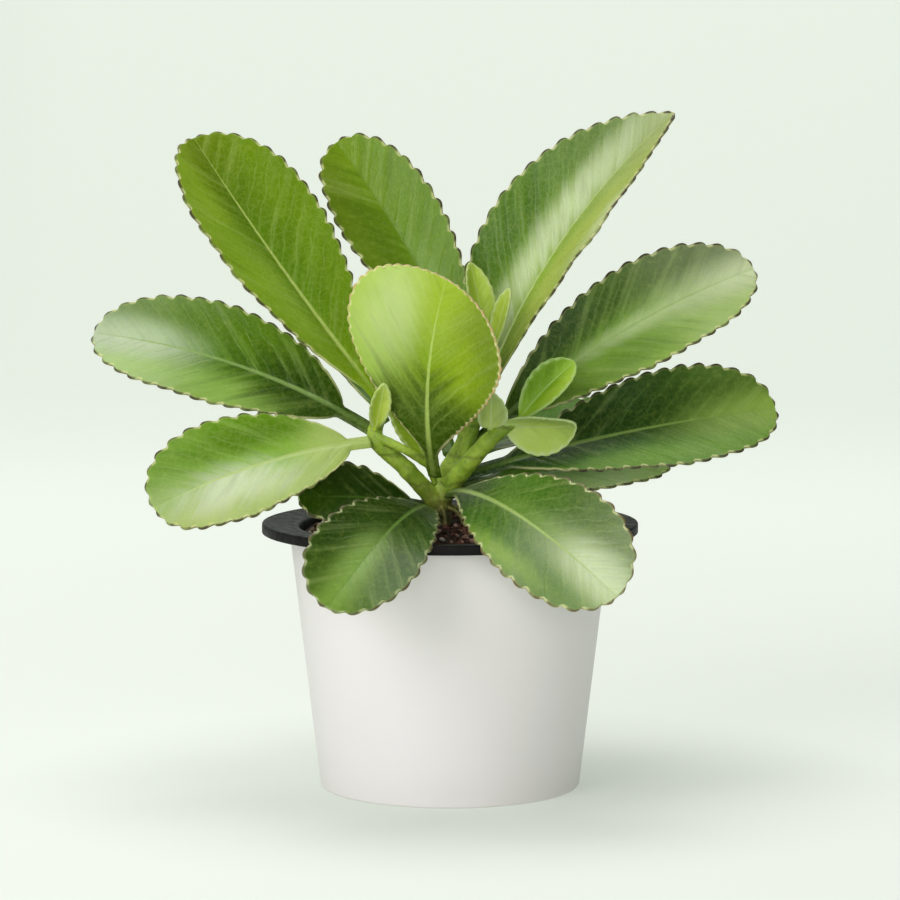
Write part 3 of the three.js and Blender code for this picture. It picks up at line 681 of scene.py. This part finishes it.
def make_liner():
    """The nursery pot, which hangs by a ledge and a lip outside the planter's rim."""
    top, base, wall = LINER["top"], LINER["base"], LINER["wall"]
    bottom, lip, lip_top = LINER["base_height"], LINER["lip"], LINER["lip_top"]
    foot, bend, crease, inset = LINER["foot_round"], LINER["bend"], LINER["crease"], LINER["inset"]
    seat = PLANTER["height"] + CLEARANCE
    ledge = PLANTER["top"] + LINER["ledge"]
    skirt, skirt_end = lip - wall, lip_top - LINER["lip_drop"]
    profile = rounded([
        (0, bottom, 0),
        (base, bottom, foot),
        (top, seat, bend),
        (ledge, seat, crease),
        (skirt, lip_top - wall, bend),
        (skirt, skirt_end, crease),
        (lip, skirt_end, crease),
        (lip, lip_top, LINER["lip_round"]),
        (ledge, seat + wall, crease),
        (top - inset, seat + wall - inset, LINER["mouth_round"]),
        (base - wall, bottom + wall, foot),
        (0, bottom + wall, 0),
    ])
    piece = new_piece("black_nursery_pot", *turned(profile, POT_SIDES), liner_material())
    for i in range(LINER["holes"]):
        angle = 2 * math.pi * i / LINER["holes"]
        drill(piece, LINER["hole_circle"] * math.cos(angle), LINER["hole_circle"] * math.sin(angle))
    stand_for(piece, "black_pot", "nursery_pot")


def drill(piece, x, y):
    """Cuts one drain hole through the nursery pot's bottom."""
    radius, middle = LINER["hole_radius"], LINER["base_height"] + LINER["wall"] / 2
    low, high = middle - DRILL_REACH, middle + DRILL_REACH
    points, faces = turned([(0, low), (radius, low), (radius, high), (0, high)], HOLE_SIDES)
    tool = new_piece("drill", np.array(points) + (x, y, 0), faces, piece.data.materials[0])
    cut = piece.modifiers.new("hole", "BOOLEAN")
    cut.object = tool
    cut.operation = "DIFFERENCE"
    cut.solver = "EXACT"
    apply_modifiers(piece)
    bpy.data.objects.remove(tool)


# ----- soil -----

MOUND = {"sides": 120, "rings": 40, "lump_pitch": 0.22, "lump_height": 0.9, "foot_round": 2}
MOUND_SHADE = {"body": 0.12, "top": 0.14, "spread": 0.12}
# Loose crumbs and chips: how many, their least and most size, and their height as a share of it.
CRUMBS = [(520, 0.5, 1.1, 0.7), (330, 1.2, 2.4, 0.5), (90, 2.6, 4.2, 0.35)]
CRUMB_SEED = 5
CRUMB_SIDES = 6
CRUMB_RINGS = [(-0.55, 0.8), (0.05, 1.0), (0.6, 0.7)]  # each ring's height and reach
CRUMB_DEPTH = 0.65  # as a share of its width
CRUMB_TILT = 0.6
CRUMB_LIFT = 0.25
STEM_ROOM = 6
PALE_SHARE = 0.035
PALE_SHADES, CRUMB_SHADES = (0.95, 1), (0.05, 0.85)


def soil_radius(z):
    """The nursery pot's inner radius at a height, less the gap to the soil."""
    share = (z - LINER["base_height"]) / (PLANTER["height"] - LINER["base_height"])
    return LINER["base"] + (LINER["top"] - LINER["base"]) * share - LINER["wall"] - SOIL["wall_gap"]


def soil_height(radius):
    share = min(radius / LINER["top"], 1)
    return SOIL["crown_height"] + (SOIL["edge_height"] - SOIL["crown_height"]) * share * share


def mound():
    """Points, faces and shades of the soil's own body, with a lumpy top."""
    floor = LINER["base_height"] + LINER["wall"] + CLEARANCE
    edge, rings, bevel = soil_radius(SOIL["edge_height"]), MOUND["rings"], MOUND["foot_round"]
    profile = [(0, floor), (soil_radius(floor) - bevel, floor), (soil_radius(floor + bevel), floor + bevel)]
    profile.append((edge, SOIL["edge_height"]))
    for i in range(rings - 1, 0, -1):
        profile.append((edge * i / rings, soil_height(edge * i / rings)))
    profile.append((0, SOIL["crown_height"]))
    points, faces = turned(profile, MOUND["sides"])
    points = np.array(points)
    shades = np.full(len(points), MOUND_SHADE["body"])
    for i, (x, y, z) in enumerate(points):
        if z >= SOIL["edge_height"]:
            lump = noise.fractal(Vector((x, y, 0)) * MOUND["lump_pitch"], 0.8, 2.2, 4)
            points[i][2] += MOUND["lump_height"] * lump
            shades[i] = MOUND_SHADE["top"] + MOUND_SHADE["spread"] * lump
    return points, faces, shades


def crumb(draw, size, flat):
    """A broken lump: a rounded box of three rings with uneven corners."""
    points = [(0, 0, -flat * size), (0, 0, flat * size)]
    sides = CRUMB_SIDES
    for level, reach in CRUMB_RINGS:
        for i in range(sides):
            a = 2 * math.pi * (i + 0.5 * draw.random()) / sides
            r = size * reach * draw.uniform(0.7, 1.15)
            points.append((r * math.cos(a), CRUMB_DEPTH * r * math.sin(a), level * flat * size))
    faces = []
    for i in range(sides):
        j = (i + 1) % sides
        faces.append((0, 2 + j, 2 + i))
        for level in range(2):
            low = 2 + sides * level
            faces.append((low + i, low + j, low + sides + j, low + sides + i))
        faces.append((1, 2 + 2 * sides + i, 2 + 2 * sides + j))
    up = Vector((draw.uniform(-CRUMB_TILT, CRUMB_TILT), draw.uniform(-CRUMB_TILT, CRUMB_TILT), 1))
    turn = Vector((0, 0, 1)).rotation_difference(up).to_matrix()
    spin = draw.uniform(0, 2 * math.pi)
    spun = []
    for x, y, z in points:
        spun.append(turn @ Vector((
            x * math.cos(spin) - y * math.sin(spin), x * math.sin(spin) + y * math.cos(spin), z)))
    return np.array([tuple(p) for p in spun]), faces


def crumbs():
    """Points, faces and shades of each loose crumb. None lies where the stem stands."""
    edge = soil_radius(SOIL["edge_height"])
    draw = random.Random(CRUMB_SEED)
    for number, least, most, flat in CRUMBS:
        for _ in range(number):
            size = draw.uniform(least, most)
            radius = (edge - size) * math.sqrt(draw.uniform(0.02, 1))
            angle = draw.uniform(0, 2 * math.pi)
            x, y = radius * math.cos(angle), radius * math.sin(angle)
            points, faces = crumb(draw, size, flat)
            if math.hypot(x - STEM_AXIS[0], y - STEM_AXIS[1]) < STEM_ROOM + size:
                continue
            shades = PALE_SHADES if draw.random() < PALE_SHARE else CRUMB_SHADES
            lift = soil_height(radius) + CRUMB_LIFT * size
            yield points + (x, y, lift), faces, np.full(len(points), draw.uniform(*shades))


def make_soil():
    """A mound of peat with bark chips, crumbs and a few pale grains lying on it."""
    all_points, all_faces, all_shades = [], [], []
    count = 0
    for points, faces, shades in [mound(), *crumbs()]:
        all_points.append(points)
        all_faces += [tuple(k + count for k in face) for face in faces]
        all_shades.append(shades)
        count += len(points)
    piece = new_piece("potting_soil", np.concatenate(all_points), all_faces, soil_material())
    shade = np.concatenate(all_shades)
    add_vectors(piece, "shade", shade, shade, shade)
    stand_for(piece, "potting_soil", "soil")


# ----- stem -----

SHOOT_SIDES, SHOOT_STEPS = 20, 14
ROOT_SIDES, ROOT_STEPS = 10, 10
STEM_VOXEL = 0.38
BARK = {"pitch": 0.7, "depth": 0.12}


def spline(points, steps):
    """Points and radii along a smooth curve through (x, y, z, radius) points."""
    knots = np.array(points, float)
    places = knots[:, :3]
    padded = np.vstack([2 * places[0] - places[1], places, 2 * places[-1] - places[-2]])
    out = []
    for i in range(len(places) - 1):
        p0, p1, p2, p3 = padded[i:i + 4]
        d0, d1, d2 = (math.sqrt(np.linalg.norm(b - a)) for a, b in ((p0, p1), (p1, p2), (p2, p3)))
        m1 = d1 * ((p1 - p0) / d0 - (p2 - p0) / (d0 + d1) + (p2 - p1) / d1)
        m2 = d1 * ((p2 - p1) / d1 - (p3 - p1) / (d1 + d2) + (p3 - p2) / d2)
        c2 = 3 * (p2 - p1) - 2 * m1 - m2
        c3 = 2 * (p1 - p2) + m1 + m2
        last = i == len(places) - 2
        for t in np.linspace(0, 1, steps + 1)[:None if last else -1]:
            radius = knots[i][3] + (knots[i + 1][3] - knots[i][3]) * t
            out.append((*(p1 + m1 * t + c2 * t ** 2 + c3 * t ** 3), radius))
    return np.array(out)


def tube(path, sides):
    """Points and faces of a round tube along (x, y, z, radius) rows, with closed ends."""
    centres, radii = path[:, :3], path[:, 3]
    tangents = unit(np.gradient(centres, axis=0))
    normal = unit(np.cross(tangents[0], (0.3, 1, 0.2)))
    points = []
    for centre, radius, tangent in zip(centres, radii, tangents):
        normal = unit(normal - tangent * np.dot(normal, tangent))
        other = np.cross(tangent, normal)
        for i in range(sides):
            a = 2 * math.pi * i / sides
            points.append(centre + radius * (math.cos(a) * normal + math.sin(a) * other))
    faces = []
    for k in range(len(path) - 1):
        for i in range(sides):
            j = (i + 1) % sides
            a, b = k * sides, (k + 1) * sides
            faces.append((a + i, a + j, b + j, b + i))
    faces.append(tuple(range(sides - 1, -1, -1)))
    end = (len(path) - 1) * sides
    faces.append(tuple(range(end, end + sides)))
    return points, faces


def root_paths():
    """The air roots' routes, drawn as in the frame."""
    state = ROOTS["seed"]

    def draw():
        nonlocal state
        state = (state * 1664525 + 1013904223) % 4294967296
        return state / 4294967296

    def between(ends):
        return ends[0] + (ends[1] - ends[0]) * draw()

    paths = []
    foot = SOIL["crown_height"] - ROOTS["depth"]
    for i in range(ROOTS["count"]):
        angle = 2 * math.pi * (i + 0.6 * draw()) / ROOTS["count"]
        reach = between(ROOTS["reach"])

        def at(distance, height):
            return (STEM_AXIS[0] + distance * math.cos(angle), STEM_AXIS[1] + distance * math.sin(angle),
                    height, ROOTS["radius"])

        top = at(ROOTS["start"], between(ROOTS["top"]))
        paths.append([top, at(0.7 * reach, foot + ROOTS["arch"]), at(reach, foot)])
    return paths


def shoot_path(shoot):
    """A shoot's route, with a swelling at each joint."""
    path = spline(shoot, SHOOT_STEPS)
    swell = np.maximum(0, np.cos((path[:, 2] - JOINTS["first"]) * 2 * math.pi / JOINTS["pitch"])) ** 6
    path[:, 3] *= JOINTS["slim"] + JOINTS["swell"] * swell
    return path


def make_stem():
    """Shoots and air roots grown together into one body."""
    tubes = [tube(shoot_path(shoot), SHOOT_SIDES) for shoot in SHOOTS]
    tubes += [tube(spline(route, ROOT_STEPS), ROOT_SIDES) for route in root_paths()]
    points, faces = [], []
    for more, more_faces in tubes:
        faces += [tuple(k + len(points) for k in face) for face in more_faces]
        points += more
    piece = new_piece("plant_stem", points, faces, stem_material())
    remesh = piece.modifiers.new("join", "REMESH")
    remesh.mode = "VOXEL"
    remesh.voxel_size = STEM_VOXEL * MM
    remesh.use_smooth_shade = True
    soften = piece.modifiers.new("soften", "SMOOTH")
    soften.factor = 0.5
    soften.iterations = 2
    apply_modifiers(piece)
    roughen(piece, BARK["pitch"], BARK["depth"])
    stand_for(piece, "green_stem", "stem")


# ----- leaves -----

# Columns of points on each half, as shares of its width from the midrib to the edge.
COLUMNS = [0, 0.03, 0.07, 0.13, 0.22, 0.33, 0.45, 0.57, 0.68, 0.78, 0.86, 0.915, 0.95, 0.975, 0.99, 1]
EDGE_SAMPLES = 1601
FOOT_ROWS = 16
BARE_FOOT = 0.1  # share of the blade's length without teeth
TOOTH_FADE = 3  # teeth at the foot, and millimetres at the tip, over which they fade out
TOOTH_SIZES = (0.8, 1.15)
TOOTH_LEAN, TOOTH_BLUNT = 1.5, 0.8
TOOTH_ROOT = 0.72  # share of the half width where the teeth begin to shape the blade
NOTCH = 0.35  # share of a tooth's depth that lies inside the plain edge
SMALL_WIDTH = 25  # a narrower leaf is thinner, without waves, groove or sunken veins
SMALL_GAIN = 0.75


def toothed_edge(leaf, draw):
    """The flat edge from foot to tip: plain places, toothed places and how far up a tooth each one is."""
    u = np.linspace(0, 1, EDGE_SAMPLES)
    t = 1 - (1 - u) ** 2
    x, y = t * leaf.length, leaf.half_width(t)
    reach = np.concatenate([[0], np.cumsum(np.hypot(np.diff(x), np.diff(y)))])
    total = reach[-1]
    stalk_end = leaf.stalk * leaf.length
    start = stalk_end + BARE_FOOT * (leaf.length - stalk_end)
    count = round((total - start) / leaf.teeth["pitch"])
    foot = np.linspace(0, start, FOOT_ROWS, endpoint=False)
    phase = np.linspace(0, count, count * leaf.teeth["samples"] + 1)
    places = np.concatenate([foot, start + (total - start) * phase / count])
    phase = np.concatenate([np.zeros(len(foot)), phase])
    plain = np.stack([np.interp(places, reach, x), np.interp(places, reach, y)], 1)
    normal = np.stack([-np.interp(places, reach, np.gradient(y, reach)),
                       np.interp(places, reach, np.gradient(x, reach))], 1)
    crown = np.sin(math.pi * (phase % 1) ** TOOTH_LEAN) ** TOOTH_BLUNT
    growth = np.minimum(np.minimum(phase / TOOTH_FADE, 1), (total - places) / TOOTH_FADE)
    sizes = np.array([draw.uniform(*TOOTH_SIZES) for _ in range(count + 1)])
    rise = leaf.teeth["depth"] * growth * sizes[phase.astype(int)] * (crown - NOTCH)
    return plain, plain + normal * rise[:, None], np.clip(growth, 0, 1) * crown


def leaf_arrays(leaf):
    """Flat places, distance from the edge and tooth height, for rows from foot to tip and all columns."""
    draw = random.Random(leaf.name)
    halves = [toothed_edge(leaf, draw) for _ in range(2)]
    across = [-f for f in COLUMNS[:0:-1]] + COLUMNS
    x, y, rim, crown = [], [], [], []
    for f in across:
        plain, toothed, tooth = halves[f > 0]
        edge = plain + (toothed - plain) * smoothstep(TOOTH_ROOT, 1, abs(f))
        x.append(edge[:, 0])
        y.append(edge[:, 1] * f)
        rim.append((1 - abs(f)) * np.maximum(toothed[:, 1], 0))
        crown.append(tooth)
    return [np.stack(a, 1) for a in (x, y, rim, crown)]


def leaf_thickness(leaf, t, rim, half):
    """Half the thickness, rounded off at the edge. The stalk is round, the blade flat with a round rim."""
    gain = 1 if leaf.width > SMALL_WIDTH else SMALL_GAIN
    middle = BLADE_MIDDLE * gain * (1.25 - 0.45 * t)
    margin = max(BLADE_MARGIN * gain, 0.9)
    share = np.clip(1 - rim / np.maximum(half, 0.01), 0, 1)
    thick = middle + (margin - middle) * share ** 1.5
    blade = smoothstep(0.6 * leaf.stalk, leaf.stalk + 0.2, t)
    roundness = np.maximum(half * (1 - blade) + 0.8 * gain * blade, 0.05)
    return thick / 2 * np.sqrt(1 - (1 - np.minimum(rim / roundness, 1)) ** 2)


def sunken_veins(leaf, x, y, rim):
    """1 along each side vein and 0 between them."""
    stripe = ((x - VEIN_LEAN * np.abs(y)) / VEIN_PITCH) % 1
    return (1 - smoothstep(0, 0.22, np.abs(stripe - 0.5))) * smoothstep(1, 0.35 * leaf.width / 2, rim)


def leaf_sides(leaf, x, y, rim, half):
    """Points of the upper and the lower side, waved, grooved along the midrib and keeled below it."""
    t = np.clip(x / leaf.length, 0, 1)
    points, normals = leaf.bend_onto(x, y)
    big = leaf.width > SMALL_WIDTH
    draw = random.Random(leaf.name + "_wave")
    phase, pitch = draw.uniform(0, 6), draw.uniform(30, 42)
    wave = 0.45 * big * (y / (leaf.width / 2)) ** 2 * np.sin(2 * math.pi * x / pitch + phase + (y > 0) * 1.7)
    thick = leaf_thickness(leaf, t, rim, half)
    firm = np.minimum(thick / 0.5, 1)
    groove = 0.4 * big * np.exp(-(y / 1.1) ** 2) * (1 - 0.6 * t)
    veins = 0.14 * big * sunken_veins(leaf, x, y, rim)
    keel = (0.9 if big else 0.4) * np.exp(-(y / 1.5) ** 2) * (1 - t) ** 0.7
    upper = points + normals * (wave + thick - (groove + veins) * firm)[:, None]
    lower = points + normals * (wave - thick - (keel - veins) * firm)[:, None]
    return np.concatenate([upper, lower])


def leaf_faces(rows, columns):
    """Faces of the closed leaf. Its two sides share their points along the edge and at the tip."""
    top = np.arange(rows * columns).reshape(rows, columns)
    bottom = top + rows * columns
    bottom[:, 0], bottom[:, -1] = top[:, 0], top[:, -1]
    top[-1, :] = top[-1, 0]
    bottom[-1, :] = top[-1, 0]
    faces = []
    for r in range(rows - 1):
        for c in range(columns - 1):
            faces.append((top[r, c], top[r, c + 1], top[r + 1, c + 1], top[r + 1, c]))
            faces.append((bottom[r, c], bottom[r + 1, c], bottom[r + 1, c + 1], bottom[r, c + 1]))
    for c in range(columns - 1):
        faces.append((bottom[0, c], bottom[0, c + 1], top[0, c + 1], top[0, c]))
    return [tuple(int(k) for k in face) for face in faces]


def make_leaf(leaf):
    x, y, rim, crown = leaf_arrays(leaf)
    rows, columns = x.shape
    half = np.repeat(np.maximum(rim[:, :1] + np.abs(y[:, :1]), 0.01), columns, 1)
    x, y, rim, crown, half = (a.ravel() for a in (x, y, rim, crown, half))
    places = leaf_sides(leaf, x, y, rim, half)

    faces = leaf_faces(rows, columns)
    used = sorted({k for face in faces for k in face})
    number = {k: i for i, k in enumerate(used)}
    faces = [tuple(number[k] for k in face) for face in faces]
    piece = new_piece("fine_" + leaf.name, places[used], faces, leaf_material(leaf))

    is_upper = np.repeat([1, 0], len(x))
    x, y, rim, crown = (np.tile(a, 2)[used] for a in (x, y, rim, crown))
    add_vectors(piece, "flat", x, y, is_upper[used])
    add_vectors(piece, "edge", np.clip(x / leaf.length, 0, 1), rim, crown)
    stand_for(piece, LEAF_SLOTS[leaf.name], leaf.name)


# ----- the part -----

make_planter()
make_liner()
make_soil()
make_stem()
for leaf in LEAVES:
    make_leaf(leaf)

# ----- stage and light, in metres -----

BACKDROP = "ebf2e8"
BACKDROP_BOUNCE = 0.55
FLOOR_RINGS = [0, 0.3, 1.0, 2.1]
COVE = 0.8
COVE_STEPS = 16
WALL_TOP = 2.2
BACKDROP_SIDES = 96

# Soft boxes: name, turn and rise in degrees, distance, size, power in watts and spread in degrees.
LIGHTS = [
    ("key", -128, 26, 1.6, (0.9, 0.9), 12, 180),
    ("front", -88, 9, 2.0, (1.2, 0.5), 1.2, 70),
    ("overhead", 125, 78, 1.2, (0.8, 0.8), 8, 180),
    ("back", 100, 50, 1.5, (0.8, 0.6), 2, 180),
]
LIGHT_COLOUR = (1, 0.95, 0.99)
LIT_HEIGHT = 0.15
WORLD_COLOUR, WORLD_STRENGTH = (1, 0.98, 0.99, 1), 0.04


def backdrop_material():
    """Pale and softly glowing, and its glow lights the part too: dimmer round the pot's foot, which is a
    painted contact shadow, and dimmer in front and at the sides.
    """
    g = Graph("backdrop", Specular_IOR_Level=0, Roughness=1)
    x, y, _ = g.split(g.position())
    reach = g.length(x, y)
    # painted contact shadow: the glow dips round the pot's foot, then rises outwards
    glow = g.times(g.band(reach, 0.06, 0.2, 0.42, 0.58), g.band(reach, 0.2, 1.2, 1, 1.28))
    glow = g.times(glow, g.band(y, -0.9, -0.25, 0.7, 1))
    glow = g.times(glow, g.times(g.band(x, 0.5, 1, 1, 0.25), g.band(x, -1, -0.4, 0.6, 1)))
    g.set(Base_Color=(*[BACKDROP_BOUNCE * c for c in linear(BACKDROP)[:3]], 1))
    g.set(Emission_Color=BACKDROP, Emission_Strength=glow)
    return g.material


def make_stage():
    """A round floor that curves up into a wall all round the part."""
    profile = [(radius, 0) for radius in FLOOR_RINGS]
    for i in range(1, COVE_STEPS + 1):
        a = math.pi / 2 * i / COVE_STEPS
        profile.append((FLOOR_RINGS[-1] + COVE * math.sin(a), COVE * (1 - math.cos(a))))
    profile.append((FLOOR_RINGS[-1] + COVE, WALL_TOP))
    points, faces = turned([(r / MM, z / MM) for r, z in profile], BACKDROP_SIDES)
    sheet = new_piece("backdrop", points, faces, backdrop_material())


def make_light(name, turn, rise, distance, size, power, spread):
    """A soft box at a turn and rise as seen from the plant, which it faces."""
    data = bpy.data.lights.new(name, "AREA")
    data.shape = "RECTANGLE"
    data.size, data.size_y = size
    data.energy = power
    data.color = LIGHT_COLOUR
    data.spread = math.radians(spread)
    light = bpy.data.objects.new(name, data)
    turn, rise = math.radians(turn), math.radians(rise)
    away = Vector((math.cos(rise) * math.cos(turn), math.cos(rise) * math.sin(turn), math.sin(rise)))
    light.location = Vector((0, 0, LIT_HEIGHT)) + distance * away
    light.rotation_euler = away.to_track_quat("Z", "Y").to_euler()
    light.visible_camera = False
    bpy.context.scene.collection.objects.link(light)


def make_world():
    world = bpy.data.worlds.new("world")
    world.use_nodes = True
    background = world.node_tree.nodes["Background"]
    background.inputs["Color"].default_value = WORLD_COLOUR
    background.inputs["Strength"].default_value = WORLD_STRENGTH
    bpy.context.scene.world = world


make_stage()
make_world()
for row in LIGHTS:
    make_light(*row)
bpy.context.scene.view_settings.view_transform = "Standard"
bpy.context.scene.view_settings.look = "None"
